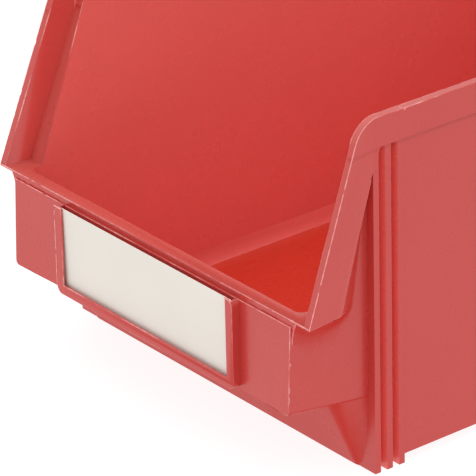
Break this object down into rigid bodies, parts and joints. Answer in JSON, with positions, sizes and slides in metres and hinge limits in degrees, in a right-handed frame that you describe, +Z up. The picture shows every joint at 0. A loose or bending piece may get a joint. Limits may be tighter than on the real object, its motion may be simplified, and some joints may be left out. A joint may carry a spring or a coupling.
{
  "type": "stackable storage bin",
  "caption": "Open-fronted stackable storage bin with flared pick opening, ribbed side walls, stacking rim and a card in a front label holder.",
  "frame": {"origin": "middle of the overall length and width on the standing surface", "axes": "+Z up, X across the bin, -Y towards the pick opening and label holder"},
  "size_m": [0.1574, 0.235, 0.12],
  "materials": {
    "red_plastic": "semi-matte moulded polypropylene",
    "label_paper": "matte uncoated card"
  },
  "bodies": {
    "bin": {"bin_body": "red_plastic"},
    "label": {"label_card": "label_paper"}
  },
  "joints": [
    {"name": "label_slide", "type": "slide", "parent": "bin", "child": "label", "axis": [0, 0, 1], "range_m": [0, 0.028]}
  ]
}
